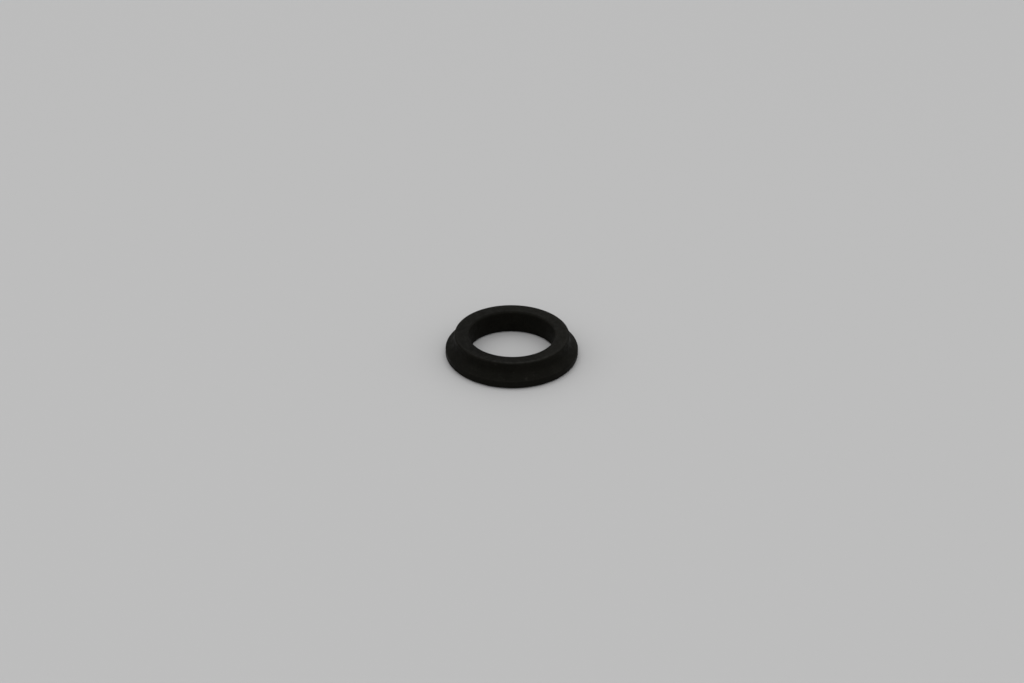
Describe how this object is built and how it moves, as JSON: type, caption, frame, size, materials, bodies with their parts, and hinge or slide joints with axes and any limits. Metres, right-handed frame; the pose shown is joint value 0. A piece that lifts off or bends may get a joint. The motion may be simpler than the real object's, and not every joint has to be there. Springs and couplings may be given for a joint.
{
  "type": "gearbox washer",
  "caption": "Small black moulded rubber washer ring: a straight bore and a short neck that flares into the sloping face of a flange. It sits on a gearbox shaft.",
  "frame": {"origin": "centre of the bore in the plane of the bottom face, which is the flange's flat face", "axes": "+Z along the bore from the flange to the top face; X and Y are free, because the ring is round"},
  "size_m": [0.031, 0.031, 0.0057],
  "materials": {
    "rubber": "matte black moulded rubber"
  },
  "bodies": {
    "root": {"washer": "rubber"}
  },
  "joints": []
}
